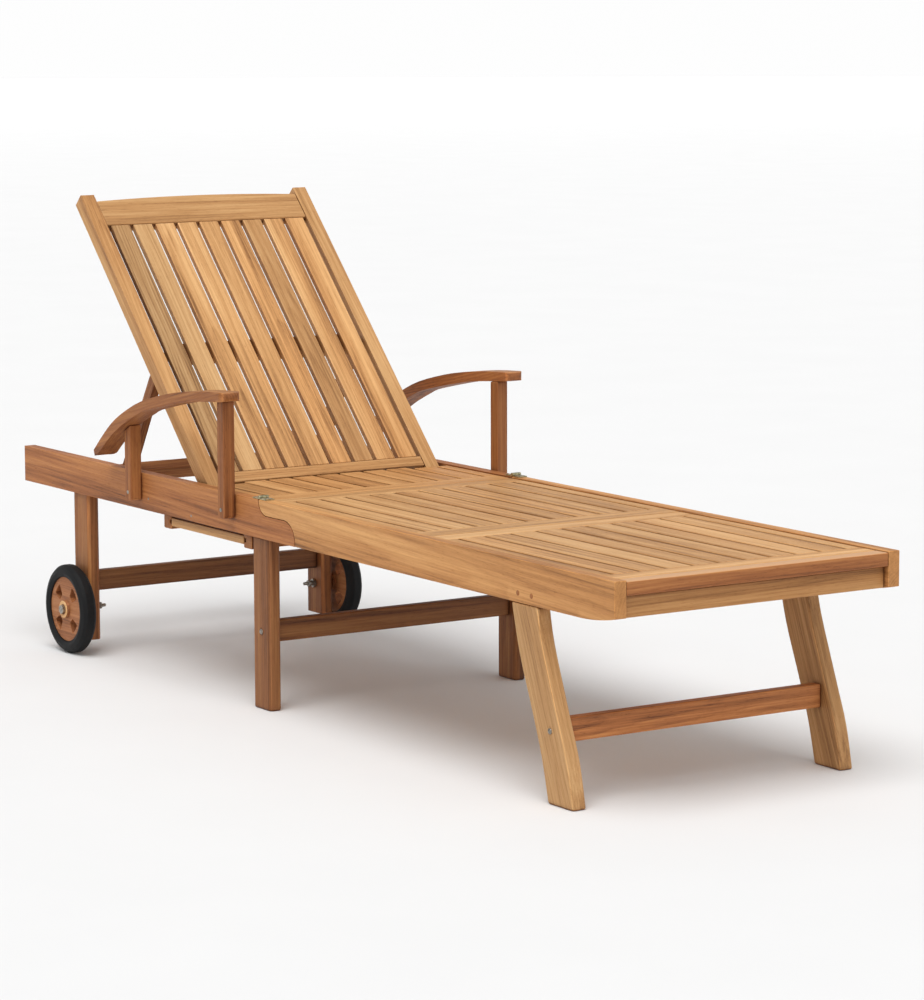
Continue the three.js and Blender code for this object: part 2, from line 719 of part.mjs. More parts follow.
for (const [name, side] of SIDES) {
  add(headFrame, `head_rail_${name}`, headRail(side), redTeak);
  add(footFrame, `foot_rail_${name}`, footRail(side), goldenTeak);
  const axleHole = rod(AXLE_RADIUS + CLEAR, ...span(side, 200, 300), WHEEL_LEG_X, TYRE_RADIUS);
  const wheelLeg = cut(straightLeg(side, WHEEL_LEG_X, WHEEL_LEG_BOTTOM), axleHole);
  add(headFrame, `wheel_leg_${name}`, wheelLeg, redTeak);
  add(headFrame, `mid_leg_${name}`, straightLeg(side, MID_LEG_X, 0), redTeak);
  add(footFrame, `foot_leg_${name}`, footLeg(side), goldenTeak);
  add(headFrame, `armrest_${name}`, armrest(side), redTeak);
  add(headFrame, `arm_post_front_${name}`, armPost(side, POST_FRONT), redTeak);
  add(headFrame, `arm_post_rear_${name}`, armPost(side, POST_REAR), redTeak);
  add(headFrame, `notch_rack_${name}`, notchRack(side), redTeak);
  const pivotBolt = rod(PIVOT_RADIUS, ...span(side, STILE_OUT - 18, RAIL_IN + 11), BACK_X, BACK_Z);
  add(headFrame, `back_pivot_bolt_${name}`, pivotBolt, steel);

  add(back, `back_stile_${name}`, stile(side), goldenTeak);
  add(prop, `prop_leg_${name}`, propLeg(side), redTeak);

  const hub = group(WHEEL_LEG_X, TYRE_RADIUS, 0, side * TYRE_FACE);
  if (side < 0) hub.rotation.z = Math.PI;
  add(hub, `wheel_tyre_${name}`, tyre(), rubber);
  add(hub, `wheel_disc_${name}`, wheelDisc(), wheelBrown);
  add(hub, `axle_bolt_${name}`, axleBolt(), steel);
  lounger.add(hub);

  const hinge = group(FOLD_X, FOLD_Z, 0, side * (RAIL_OUT - RAIL_THICK / 2));
  add(hinge, `hinge_leaf_head_${name}`, hingeLeaf(-1), hingeBrass);
  add(hinge, `hinge_leaf_foot_${name}`, hingeLeaf(1), hingeBrass);
  lounger.add(hinge);
}

add(headFrame, "seat_panel_head", headPanel(), goldenTeak);
const middlePanel = join(seatPanel(MIDDLE_PANEL), bearer(MIDDLE_PANEL.to - BEARER.wide));
add(footFrame, "seat_panel_middle", middlePanel, goldenTeak);
add(footFrame, "seat_panel_foot", seatPanel(FOOT_PANEL), goldenTeak);
add(footFrame, "front_board", block([FOOT_PANEL.to + 1, END_X], [-PANEL_OUT, PANEL_OUT], boardZ), redTeak);
add(
  footFrame,
  "front_apron",
  block([END_X - 34, END_X - 10], [-PANEL_OUT, PANEL_OUT], [RAIL_BOTTOM + 8, boardZ[0] - CLEAR]),
  goldenTeak,
);
add(
  headFrame,
  "head_cross_rail",
  block(
    [-END_X + 4, -END_X + 4 + CROSS_RAIL.wide],
    [-PANEL_OUT, PANEL_OUT],
    [RAIL_BOTTOM, CROSS_RAIL.top],
  ),
  redTeak,
);

add(headFrame, "mid_stretcher", stretcher(MID_STRETCHER, STRAIGHT_IN), redTeak);
add(headFrame, "wheel_stretcher", stretcher(WHEEL_STRETCHER, STRAIGHT_IN), redTeak);
add(footFrame, "foot_stretcher", stretcher(FOOT_STRETCHER, RAIL_OUT - FOOT_LEG_THICK), redTeak);

add(back, "back_top_rail", backRail(TOP_RAIL, TOP_ARCH), goldenTeak);
add(back, "back_bottom_rail", backRail(BOTTOM_RAIL, 0), goldenTeak);
add(back, "back_batten", batten(), redTeak);
for (let i = 0; i < BACK_SLATS; i++) add(back, `back_slat_${i + 1}`, backSlat(i), goldenTeak);
add(prop, "prop_crossbar", propCrossbar(), redTeak);
add(prop, "prop_rod", propRod(), redTeak);

add(trayGroup, "tray", tray(), goldenTeak);
const runnerHead = trayRunner(TRAY_FROM - RUNNER_WIDE, TRAY_FROM, TRAY_FROM);
const runnerFoot = trayRunner(TRAY_TO, TRAY_TO + RUNNER_WIDE, TRAY_TO);
add(headFrame, "tray_runner_head", runnerHead, redTeak);
add(headFrame, "tray_runner_foot", runnerFoot, redTeak);

export default lounger;
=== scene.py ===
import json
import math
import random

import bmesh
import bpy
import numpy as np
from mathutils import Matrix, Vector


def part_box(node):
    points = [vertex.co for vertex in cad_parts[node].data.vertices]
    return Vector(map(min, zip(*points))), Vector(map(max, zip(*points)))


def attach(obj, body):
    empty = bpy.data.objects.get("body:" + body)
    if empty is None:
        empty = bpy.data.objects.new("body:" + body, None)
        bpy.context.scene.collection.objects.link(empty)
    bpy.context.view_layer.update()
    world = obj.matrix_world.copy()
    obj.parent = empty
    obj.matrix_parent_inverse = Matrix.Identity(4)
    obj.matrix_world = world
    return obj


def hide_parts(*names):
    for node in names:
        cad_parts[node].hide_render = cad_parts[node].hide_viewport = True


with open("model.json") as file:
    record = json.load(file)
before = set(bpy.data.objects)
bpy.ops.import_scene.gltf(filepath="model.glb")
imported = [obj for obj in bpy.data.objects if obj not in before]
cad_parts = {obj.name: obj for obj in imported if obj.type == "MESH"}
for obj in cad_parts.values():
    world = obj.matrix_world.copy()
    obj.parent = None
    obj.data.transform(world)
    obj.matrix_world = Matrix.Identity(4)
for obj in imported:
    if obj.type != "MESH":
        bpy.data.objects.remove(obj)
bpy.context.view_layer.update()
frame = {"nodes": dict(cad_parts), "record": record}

# The looks of a slatted teak sun lounger: rounded boards with their own grain, brass butt hinges,
# screws, plugs and bolts, and rubber tyres on wooden wheel discs.
#
# Metres, in the frame of the CAD. Each wooden CAD node is shown by a copy of its solid with rounded
# edges, and the seat panels and the tray by separate boards. Every piece stays at the origin with
# its place in its vertices. The teak material reads a few custom properties of each piece: where
# its grain starts and runs, where the heart of the tree was, its own tone, and how much painted light
# lightens its top.

NODES = frame["nodes"]
RECORD = frame["record"]
BODY_OF = {
    node: body for body, members in RECORD["behaviour"]["bodies"].items() for node in members
}
SLOT_OF = {row["node"]: row["material_slot"] for row in RECORD["subparts"]}
SIDES = (("right", -1), ("left", 1))

# ---------------------------------------------------------------- sizes

MM = 0.001

# Radii of rounded edges
EDGE = 1.6 * MM  # slats and battens
SOFT_EDGE = 2.6 * MM  # rails and arms
LEG_EDGE = 4.2 * MM  # legs and arm posts
METAL_EDGE = 0.4 * MM
DISC_EDGE = 1.2 * MM
TYRE_EDGE = 1.5 * MM
TURNED_EDGE = 0.12 * MM
EDGES = {
    "back_slat": EDGE,
    "back_batten": EDGE,
    "mid_leg": LEG_EDGE,
    "wheel_leg": LEG_EDGE,
    "foot_leg": LEG_EDGE,
    "arm_post": LEG_EDGE,
}
ROUND_OVER = 30  # edges sharper than this many degrees are rounded
FLAT = 0.5  # faces within this many degrees are one flat face
MERGED = 0.01 * MM  # vertices closer than this are one

# Seat panels
SEAT_SLATS = 9
SEAT_GAP = 7 * MM
SEAT_STILE = 23 * MM
SEAT_THICK = 20 * MM
SEAM = 0.3 * MM  # half the gap between boards that touch
PANEL_GAP = 1.3 * MM  # what the end of a seat panel stands back from the next one
CROSS_RAILS = {  # how wide the rails across each panel's head end and foot end are
    "seat_panel_head": (0, 44 * MM),
    "seat_panel_middle": (40 * MM, 51 * MM),
    "seat_panel_foot": (41 * MM, 41 * MM),
}
BEARER = 38 * MM
BEARER_SET_BACK = 2 * MM  # from the cut for the stiles
STILE_CORNER = (25 * MM, 213 * MM)  # the head panel is cut back here for the foot of the stiles

# Tray
TRAY_EDGE = 24 * MM
TRAY_GAP = 6 * MM
TRAY_SLATS = 5
TRAY_STEP = 4 * MM  # how far the slats stand above the underside of the frame
TONGUE = 6 * MM  # how far a tongue reaches into its runner
TONGUE_HALF = 3 * MM  # half its thickness

# ---------------------------------------------------------------- looks


def srgb(red, green, blue):
    """A colour given as 0 to 255 on screen, as the linear colour a shader works in."""
    linear = [((c / 255 + 0.055) / 1.055) ** 2.4 for c in (red, green, blue)]
    return (*linear, 1.0)


TEAK = {
    "teak_golden": (srgb(120, 78, 40), srgb(193, 143, 90), srgb(225, 180, 125)),
    "teak_red": (srgb(74, 38, 18), srgb(156, 100, 57), srgb(192, 137, 84)),
    "wheel_disc": (srgb(96, 50, 26), srgb(176, 112, 68), srgb(205, 144, 96)),
}
RING = 5.2 * MM  # thickness of one year's growth
FLAT_SAWN = 0.4  # the share of boards cut across the tree's heart
EDGE_WEAR_AND_HIGHLIGHT = 1.45  # how much lighter a rounded edge is: partly wear, partly a painted highlight
GAP_SHADE = (0.34, 0.20, 0.12)  # what is left of each colour deep in a gap, as painted shade
GAP_REACH = 12 * MM  # how near another face has to be for painted shade to darken this one

# Tone is how light a piece is, warmth how red it is, and figure how strongly its growth rings show.
BACK_SLAT_TONES = (
    (0.76, -1.0, 0.9),
    (0.94, -0.6, 0.3),
    (0.98, 0.0, 0.6),
    (1.13, 0.0, 0.2),
    (1.04, 0.2, 0.25),
    (1.12, 0.5, 0.4),
    (0.82, 0.3, 0.5),
    (1.02, 0.4, 0.25),
    (0.95, 0.8, 0.35),
)
TONES = {
    "back_top_rail": (0.86, 0.0, 0.3),
    "back_bottom_rail": (0.88, 0.3, 0.3),
    "back_stile_right": (0.80, 0.9, 0.35),
    "back_stile": (0.86, 0.3, 0.3),
    "foot_rail": (0.84, 2.2, 0.35),
    "head_rail": (1.05, 1.0, 0.35),
    "front_board": (0.84, 1.6, 0.4),
    # The apron's and the legs' low tones are partly darker wood, partly painted shade.
    "front_apron": (0.66, 1.9, 0.35),
    "mid_leg_right": (0.63, 1.0, 0.45),
    "mid_leg": (0.68, 0.8, 0.35),
    "wheel_leg": (0.72, 1.4, 0.4),
    # The stretchers' low tones are painted shade, for the shade under the seat.
    "mid_stretcher": (0.52, 0.8, 0.3),
    "wheel_stretcher": (0.50, 0.8, 0.3),
    "foot_stretcher": (1.18, 1.2, 0.5),
    "armrest_left": (0.96, 1.3, 0.5),
    "armrest": (0.79, 1.6, 0.5),
    "arm_post_front": (0.72, 2.0, 0.3),
    "arm_post_rear": (0.95, 1.4, 0.3),
    "prop_leg": (0.85, 0.8, 0.3),
    "foot_leg_left": (0.80, 0.3, 0.4),
    "foot_leg": (0.82, -0.1, 0.4),
    "tray": (1.0, 0.2, 0.3),
    "wheel_disc_left_hub": (1.12, -0.4, 0.1),
    "wheel_disc_right_hub": (1.12, -0.4, 0.1),
    "wheel_disc": (0.82, 0.0, 0.3),
    "seat_panel_head": (0.86, 1.2, 0.3),
    "seat_panel_middle": (0.98, 0.0, 0.3),
    "seat_panel_foot": (1.0, 0.0, 0.3),
}
PLAIN_TONE = (1.0, 0.0, 0.35)
LIT_TOPS = {"front_board": 0.75, "armrest": 0.18}  # how much painted light lightens the top of a piece
# The colour painted on tops, as light falling on them.
LIT_TOP_COLOUR = srgb(217, 172, 128)


# ---------------------------------------------------------------- node trees


class Tree:
    """Short calls for building a material's node tree."""

    def __init__(self, name):
        self.material = bpy.data.materials.new(name)
        self.material.use_nodes = True
        self.nodes = self.material.node_tree.nodes
        self.links = self.material.node_tree.links
        self.shader = self.nodes["Principled BSDF"]

    def put(self, socket, value):
        if isinstance(value, bpy.types.NodeSocket):
            self.links.new(value, socket)
        elif value is not None:
            socket.default_value = value

    def node(self, kind, inputs=(), **settings):
        made = self.nodes.new(kind)
        for key, value in settings.items():
            setattr(made, key, value)
        for key, value in dict(inputs).items():
            self.put(made.inputs[key], value)
        return made

    def math(self, operation, a, b=None, clamp=False):
        made = self.node("ShaderNodeMath", operation=operation, use_clamp=clamp)
        self.put(made.inputs[0], a)
        self.put(made.inputs[1], b)
        return made.outputs[0]

    def vector(self, operation, a, b=None, scale=None):
        made = self.node("ShaderNodeVectorMath", operation=operation)
        self.put(made.inputs[0], a)
        self.put(made.inputs[1], b)
        if scale is not None:
            self.put(made.inputs["Scale"], scale)
        return made.outputs["Vector"]

    def blend(self, factor, a, b):
        made = self.node("ShaderNodeMix", data_type="RGBA")
        self.put(made.inputs[0], factor)
        self.put(made.inputs[6], a)
        self.put(made.inputs[7], b)
        return made.outputs[2]

    def ease(self, value, start, end, low=0.0, high=1.0):
        """low before start, high after end, and a smooth step between."""
        inputs = {"Value": value, "From Min": start, "From Max": end, "To Min": low, "To Max": high}
        made = self.node("ShaderNodeMapRange", inputs, interpolation_type="SMOOTHSTEP")
        return made.outputs["Result"]

    def noise(self, vector, scales, detail=2.0, roughness=0.5):
        """Noise between 0 and 1 with its own scale along each axis."""
        made = self.node(
            "ShaderNodeTexNoise",
            {
                "Vector": self.vector("MULTIPLY", vector, scales),
                "Scale": 1.0,
                "Detail": detail,
                "Roughness": roughness,
            },
        )
        return made.outputs[0]

    def off_middle(self, noise, amount):
        """Noise moved to lie about 0 and scaled."""
        return self.math("MULTIPLY", self.math("SUBTRACT", noise, 0.5), amount)

    def own(self, name):
        """A custom property of the piece."""
        return self.node("ShaderNodeAttribute", attribute_type="OBJECT", attribute_name=name)

    def bump(self, height, strength, distance):
        inputs = {"Height": height, "Strength": strength, "Distance": distance}
        return self.node("ShaderNodeBump", inputs).outputs[0]


def growth_rings(t, board, spot):
    """Dark late wood, 0 to 1, in rings round the tree's heart, which leans away along the board."""
    x, y, z = t.node("ShaderNodeSeparateXYZ", {0: board}).outputs
    heart_y, heart_z, lean = t.node(
        "ShaderNodeSeparateXYZ", {0: t.own("heart").outputs["Vector"]}
    ).outputs
    sway = t.off_middle(t.noise(spot, (2.4, 9, 9)), 20 * MM)
    swell = t.off_middle(t.noise(spot, (4.5, 16, 16)), 11 * MM)
    across = t.math("ADD", t.math("SUBTRACT", y, heart_y), sway)
    deep = t.math("ADD", t.math("SUBTRACT", z, heart_z), t.math("MULTIPLY", x, lean))
    deep = t.math("ADD", deep, swell)
    squares = t.math("ADD", t.math("MULTIPLY", across, across), t.math("MULTIPLY", deep, deep))
    years = t.math("DIVIDE", t.math("SQRT", squares), RING)
    year = t.math("FRACT", t.math("ADD", years, t.noise(spot, (1.2, 30, 30))))
    ring = t.math("MULTIPLY", t.ease(year, 0.25, 0.88), t.ease(year, 0.88, 1.0, 1.0, 0.0))
    fading = t.ease(t.noise(spot, (1.7, 40, 40), 3.0), 0.35, 0.65, 0.25, 1.0)
    return t.math("MULTIPLY", ring, fading)


def wood_value(t, spot, fibre, pore, ring_dark):
    """How light the wood is, 0 to 1: broad bands, streaks, fibres, rings and pores."""
    band = t.noise(spot, (0.9, 20, 26))
    streak = t.noise(spot, (2.8, 120, 120), 3.0, 0.6)
    value = t.math("ADD", 0.56, t.off_middle(band, 0.95))
    value = t.math("ADD", value, t.off_middle(streak, 0.95))
    value = t.math("ADD", value, t.off_middle(fibre, 0.65))
    value = t.math("SUBTRACT", value, t.math("MULTIPLY", ring_dark, 0.30))
    return t.math("SUBTRACT", value, t.math("MULTIPLY", pore, 0.16), clamp=True)


def own_cast(t, colour, spot):
    """The colour made redder by the piece's warmth, with slow changes along it, and scaled by its tone."""
    drift = t.off_middle(t.noise(spot, (1.6, 11, 11)), 1.2)
    warm = t.math("ADD", t.own("warmth").outputs["Fac"], drift)
    red = t.math("ADD", 1.0, t.math("MULTIPLY", warm, 0.05))
    green = t.math("SUBTRACT", 1.0, t.math("MULTIPLY", warm, 0.02))
    blue = t.math("SUBTRACT", 1.0, t.math("MULTIPLY", warm, 0.10))
    cast = t.node("ShaderNodeCombineXYZ", {0: red, 1: green, 2: blue}).outputs[0]
    colour = t.vector("MULTIPLY", colour, cast)
    return t.vector("SCALE", colour, scale=t.own("tone").outputs["Fac"])


def teak(slot):
    """Oiled teak: growth rings about the tree's heart, fibres along the board, pores and end grain."""
    dark, middle, light = TEAK[slot]
    t = Tree(slot)
    where = t.node("ShaderNodeTexCoord").outputs
    turn = t.own("grain_turn").outputs["Vector"]
    into_board = {"Vector": where["Object"], "Location": t.own("grain_at").outputs["Vector"]}
    board = t.node("ShaderNodeMapping", {**into_board, "Rotation": turn}, vector_type="TEXTURE")
    board = board.outputs[0]
    faces = {"Vector": where["Normal"], "Rotation": turn}
    facing = t.node("ShaderNodeMapping", faces, vector_type="TEXTURE").outputs[0]
    seed = t.own("seed").outputs["Fac"]
    spot = t.vector("ADD", board, t.vector("SCALE", (17.3, 5.1, 9.7), scale=seed))

    ring = growth_rings(t, board, spot)
    ring_dark = t.math("MULTIPLY", ring, t.own("figure").outputs["Fac"])
    fibre = t.noise(spot, (8, 430, 430), 4.0, 0.65)
    pore = t.ease(t.noise(spot, (70, 1500, 1500), 1.0), 0.60, 0.70)
    ramp = t.node("ShaderNodeValToRGB", {0: wood_value(t, spot, fibre, pore, ring_dark)})
    stops = ramp.color_ramp.elements
    stops[0].position, stops[0].color = 0.08, dark
    stops[1].position, stops[1].color = 0.92, light
    stops.new(0.50).color = middle

    square_on = t.vector("ABSOLUTE", facing)
    along, flat, edgewise = t.node("ShaderNodeSeparateXYZ", {0: square_on}).outputs
    end_grain = t.ease(along, 0.80, 0.95)
    colour = t.blend(t.math("MULTIPLY", end_grain, 0.6), ramp.outputs["Color"], middle)
    colour = own_cast(t, colour, spot)

    # Painted light: faces turned upward are made lighter, as where light falls on a top.
    upward = t.node("ShaderNodeSeparateXYZ", {0: where["Normal"]}).outputs[2]
    lit_top = t.math("MULTIPLY", t.ease(upward, 0.6, 0.95), t.own("lit_top").outputs["Fac"])
    colour = t.blend(lit_top, colour, LIT_TOP_COLOUR)
    speckle = t.noise(spot, (300, 900, 900), 3.0)
    ends = t.math("SUBTRACT", t.ease(speckle, 0.25, 0.75, 0.80, 1.00), t.math("MULTIPLY", ring, 0.12))
    colour = t.blend(end_grain, colour, t.vector("SCALE", colour, scale=ends))

    # Rounded edges made lighter: partly wear in patches, partly a painted highlight where the edges catch
    # the light.
    squarest = t.math("MAXIMUM", along, t.math("MAXIMUM", flat, edgewise))
    patchy = t.ease(t.noise(spot, (12, 60, 60), 3.0), 0.35, 0.65, 0.35, 1.0)
    worn_and_lit_edge = t.math("MULTIPLY", t.ease(squarest, 0.74, 0.86, 1.0, 0.0), patchy)
    colour = t.blend(worn_and_lit_edge, colour, t.vector("SCALE", colour, scale=EDGE_WEAR_AND_HIGHLIGHT))
    # Painted shade: darker where other faces are near, in gaps, corners and under parts.
    shade = t.node("ShaderNodeAmbientOcclusion", {"Distance": GAP_REACH}, samples=6).outputs["AO"]
    in_gap = t.vector("MULTIPLY", colour, GAP_SHADE)
    colour = t.blend(t.ease(shade, 0.05, 0.95), in_gap, colour)

    rough = t.math("ADD", 0.56, t.off_middle(fibre, 0.35))
    rough = t.math("ADD", rough, t.math("MULTIPLY", pore, 0.12))
    height = t.math("SUBTRACT", t.math("MULTIPLY", fibre, 0.6), t.math("MULTIPLY", pore, 0.5))
    height = t.math("SUBTRACT", height, t.math("MULTIPLY", ring_dark, 0.25))
    t.put(t.shader.inputs["Base Color"], colour)
    t.put(t.shader.inputs["Roughness"], rough)
    t.put(t.shader.inputs["Specular IOR Level"], 0.32)
    t.put(t.shader.inputs["Normal"], t.bump(height, 0.35, 0.6 * MM))
    return t.material


def rubber():
    t = Tree("tyre_rubber")
    place = t.node("ShaderNodeTexCoord").outputs["Object"]
    dust = t.ease(t.noise(place, (60, 60, 60), 5.0, 0.6), 0.45, 0.75)
    grain = t.noise(place, (900, 900, 900), 2.0)
    t.put(t.shader.inputs["Base Color"], t.blend(dust, srgb(12, 13, 15), srgb(30, 29, 28)))
    t.put(t.shader.inputs["Roughness"], t.math("ADD", 0.60, t.math("MULTIPLY", dust, 0.2)))
    t.put(t.shader.inputs["Specular IOR Level"], 0.25)
    t.put(t.shader.inputs["Normal"], t.bump(grain, 0.3, 0.3 * MM))
    return t.material


def metal(name, bright, dull, patina, roughness):
    """A worn metal: brushed, with patches of tarnish and marks."""
    t = Tree(name)
    place = t.node("ShaderNodeTexCoord").outputs["Object"]
    cloud = t.noise(place, (180, 180, 180), 4.0, 0.6)
    brushed = t.noise(place, (300, 2400, 300), 2.0)
    spots = t.ease(t.noise(place, (520, 520, 520), 3.0, 0.7), 0.52, 0.66)
    colour = t.blend(t.ease(cloud, 0.35, 0.65), bright, dull)
    colour = t.blend(t.math("MULTIPLY", spots, 0.7), colour, patina)
    rough = t.math("ADD", roughness, t.off_middle(brushed, 0.25))
    t.put(t.shader.inputs["Base Color"], colour)
    t.put(t.shader.inputs["Metallic"], t.math("SUBTRACT", 1.0, t.math("MULTIPLY", spots, 0.6)))
    t.put(t.shader.inputs["Roughness"], t.math("ADD", rough, t.math("MULTIPLY", spots, 0.25)))
    t.put(t.shader.inputs["Normal"], t.bump(brushed, 0.15, 0.2 * MM))
    return t.material


MATERIALS = {slot: teak(slot) for slot in TEAK}
MATERIALS["tyre_rubber"] = rubber()
MATERIALS["bolt_steel"] = metal(
    "bolt_steel", srgb(176, 172, 164), srgb(128, 124, 116), srgb(110, 74, 48), 0.36
)
MATERIALS["hinge_brass"] = metal(
    "hinge_brass", srgb(208, 198, 160), srgb(158, 152, 122), srgb(96, 106, 86), 0.38
)

# ---------------------------------------------------------------- pieces


def piece(name, mesh, body, slot, replaces=None):
    """Adds a mesh drawn in place, with its material, to the CAD body it moves with."""
    obj = bpy.data.objects.new(name, mesh)
    bpy.context.scene.collection.objects.link(obj)
    mesh.materials.clear()
    mesh.materials.append(MATERIALS[slot])
    for face in mesh.polygons:
        face.use_smooth = True
    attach(obj, body)
    if replaces:
        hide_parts(replaces)
    return obj


def soften(obj, radius, segments=3):
    """Rounds the sharp edges, with flat faces left flat."""
    bevel = obj.modifiers.new("rounded", "BEVEL")
    bevel.width = radius
    bevel.segments = segments
    bevel.limit_method = "ANGLE"
    bevel.angle_limit = math.radians(ROUND_OVER)
    bevel.harden_normals = True
    obj.modifiers.new("normals", "WEIGHTED_NORMAL").keep_sharp = True


def long_axes(mesh):
    """The middle of a mesh and the turn that takes X, Y and Z to its length, width and thickness."""
    points = np.array([v.co for v in mesh.vertices])
    middle = points.mean(axis=0)
    axes = np.linalg.svd(points - middle, full_matrices=False)[2]
    length, width = (Vector(a if a[np.argmax(np.abs(a))] > 0 else -a) for a in axes[:2])
    turn = Matrix((length, width, length.cross(width))).transposed()
    return Vector(middle), turn.to_euler()


def tone_of(name):
    if name.startswith("back_slat_"):
        return BACK_SLAT_TONES[int(name.split("_")[2]) - 1]
    for start, tone in TONES.items():
        if name.startswith(start):
            return tone
    return PLAIN_TONE


def grain(obj, spread=0.05):
    """Gives a board its own place in the tree, and its own tone."""
    chance = random.Random(obj.name)
    at, turn = long_axes(obj.data)
    tone, warmth, figure = tone_of(obj.name)
    flat_sawn = chance.random() < FLAT_SAWN
    if flat_sawn:
        heart_y = chance.uniform(-12, 12) * MM
    else:
        heart_y = chance.choice((-1, 1)) * chance.uniform(30, 90) * MM
    lean = chance.choice((-1, 1)) * chance.uniform(0.02, 0.05)
    obj["grain_at"] = list(at)
    obj["grain_turn"] = list(turn)
    obj["heart"] = [heart_y, -chance.uniform(20, 60) * MM, lean]
    obj["seed"] = chance.uniform(0.0, 9.0)
    obj["tone"] = tone * chance.uniform(1 - spread, 1 + spread)
    obj["warmth"] = warmth + chance.uniform(-0.25, 0.25)
    obj["figure"] = figure
    # How much painted light lightens the piece's top.
    obj["lit_top"] = next((s for start, s in LIT_TOPS.items() if obj.name.startswith(start)), 0.0)


def baked(name, bm):
    """The mesh of a bmesh, which is then freed."""
    mesh = bpy.data.meshes.new(name)
    bm.to_mesh(mesh)
    bm.free()
    return mesh


def cleaned(node):
    """A copy of a CAD node's mesh with its coplanar triangles joined into whole faces."""
    bm = bmesh.new()
    bm.from_mesh(NODES[node].data)
    bmesh.ops.remove_doubles(bm, verts=bm.verts, dist=MERGED)
    bmesh.ops.dissolve_limit(bm, angle_limit=math.radians(FLAT), verts=bm.verts, edges=bm.edges)
    return baked(node, bm)


def refine(node, radius, segments=3):
    """Shows a CAD node by a copy of its solid with rounded edges."""
    obj = piece(node + "_shown", cleaned(node), BODY_OF[node], SLOT_OF[node], node)
    soften(obj, radius, segments)
    return obj


def middle_of(node):
    low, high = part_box(node)
    return (low + high) / 2


def outer_y(node):
    """The y of a node's face on the outside of the lounger, on its own side of the middle."""
    low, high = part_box(node)
    return low.y if low.y + high.y < 0 else high.y


def box_mesh(name, low, high):
    bm = bmesh.new()
    bmesh.ops.create_cube(bm, size=1)
    for vert in bm.verts:
        vert.co = Vector((h if c > 0 else l) for c, l, h in zip(vert.co, low, high))
    return baked(name, bm)


def board(name, low, high, body, slot, replaces=None):
    """One board of a panel, a hair smaller than its place so that its seams show."""
    low, high = Vector(low) + Vector((SEAM,) * 3), Vector(high) - Vector((SEAM,) * 3)
    obj = piece(name, box_mesh(name, low, high), body, slot, replaces)
    soften(obj, EDGE)
    grain(obj, spread=0.10)


def seat_panel(node):
    """Nine slats between cross rails and edge stiles, with a bearer below where the CAD has one."""
    low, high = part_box(node)
    body, slot = BODY_OF[node], SLOT_OF[node]
    first, last = CROSS_RAILS[node]
    under = high.z - SEAT_THICK
    from_x, to_x = low.x + first, high.x - last
    end = high.x - PANEL_GAP, high.y, high.z
    board(f"{node}_end_rail", (to_x, low.y, under), end, body, slot, node)
    if first:
        board(f"{node}_start_rail", (low.x, low.y, under), (from_x, high.y, high.z), body, slot)
    inner = high.y - SEAT_STILE
    corner_x = middle_of("back_pivot_bolt_left").x + STILE_CORNER[0]
    for name, side in SIDES:
        y0, y1 = sorted((side * inner, side * high.y))
        start = from_x if first else corner_x
        board(f"{node}_stile_{name}", (start, y0, under), (to_x, y1, high.z), body, slot)
    wide = (2 * inner - (SEAT_SLATS + 1) * SEAT_GAP) / SEAT_SLATS
    for i in range(SEAT_SLATS):
        y0 = -inner + SEAT_GAP + i * (wide + SEAT_GAP)
        notched = not first and max(abs(y0), abs(y0 + wide)) > STILE_CORNER[1]
        start = corner_x if notched else from_x
        place = (start, y0, under), (to_x, y0 + wide, high.z)
        board(f"{node}_slat_{i + 1}", *place, body, slot)
    if low.z < under - SEAM:
        bearer_x = high.x - BEARER if first else corner_x + BEARER_SET_BACK
        place = (bearer_x, low.y, low.z), (bearer_x + BEARER, high.y, under)
        board(f"{node}_bearer", *place, body, slot)


def tray():
    """The tray's frame, its tongues, and slats across it set a little higher underneath."""
    low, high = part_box("tray")
    body, slot = BODY_OF["tray"], SLOT_OF["tray"]
    x0, x1 = low.x + TONGUE, high.x - TONGUE
    y0, y1, z0, z1 = low.y, high.y, low.z, high.z
    middle = (z0 + z1) / 2
    board("tray_front", (x0, y0, z0), (x1, y0 + TRAY_EDGE, z1), body, slot, "tray")
    board("tray_rear", (x0, y1 - TRAY_EDGE, z0), (x1, y1, z1), body, slot)
    ins = (y0 + TRAY_EDGE, y1 - TRAY_EDGE)
    board("tray_side_head", (x0, ins[0], z0), (x0 + TRAY_EDGE, ins[1], z1), body, slot)
    board("tray_side_foot", (x1 - TRAY_EDGE, ins[0], z0), (x1, ins[1], z1), body, slot)
    for name, a, b in (("head", low.x, x0), ("foot", x1, high.x)):
        place = (a, y0 + TRAY_EDGE / 2, middle - TONGUE_HALF), (b, y1, middle + TONGUE_HALF)
        board(f"tray_tongue_{name}", *place, body, slot)
    inner = x1 - x0 - 2 * TRAY_EDGE
    wide = (inner - (TRAY_SLATS + 1) * TRAY_GAP) / TRAY_SLATS
    for i in range(TRAY_SLATS):
        x = x0 + TRAY_EDGE + TRAY_GAP + i * (wide + TRAY_GAP)
        place = (x, ins[0], z0 + TRAY_STEP), (x + wide, ins[1], z1)
        board(f"tray_slat_{i + 1}", *place, body, slot)


PANELS = (*CROSS_RAILS, "tray")
METALS = ("bolt_steel", "hinge_brass")
WOODEN = [n for n in NODES if SLOT_OF[n].startswith("teak") and n not in PANELS]
for node in WOODEN:
    edge = next((e for start, e in EDGES.items() if node.startswith(start)), SOFT_EDGE)
    grain(refine(node, edge))
for panel in CROSS_RAILS:
    seat_panel(panel)
tray()
for node in NODES:
    if SLOT_OF[node] in METALS:
        refine(node, METAL_EDGE, 2)
for name, side in SIDES:
    grain(refine(f"wheel_disc_{name}", DISC_EDGE))
    refine(f"wheel_tyre_{name}", TYRE_EDGE)

# ---------------------------------------------------------------- fittings

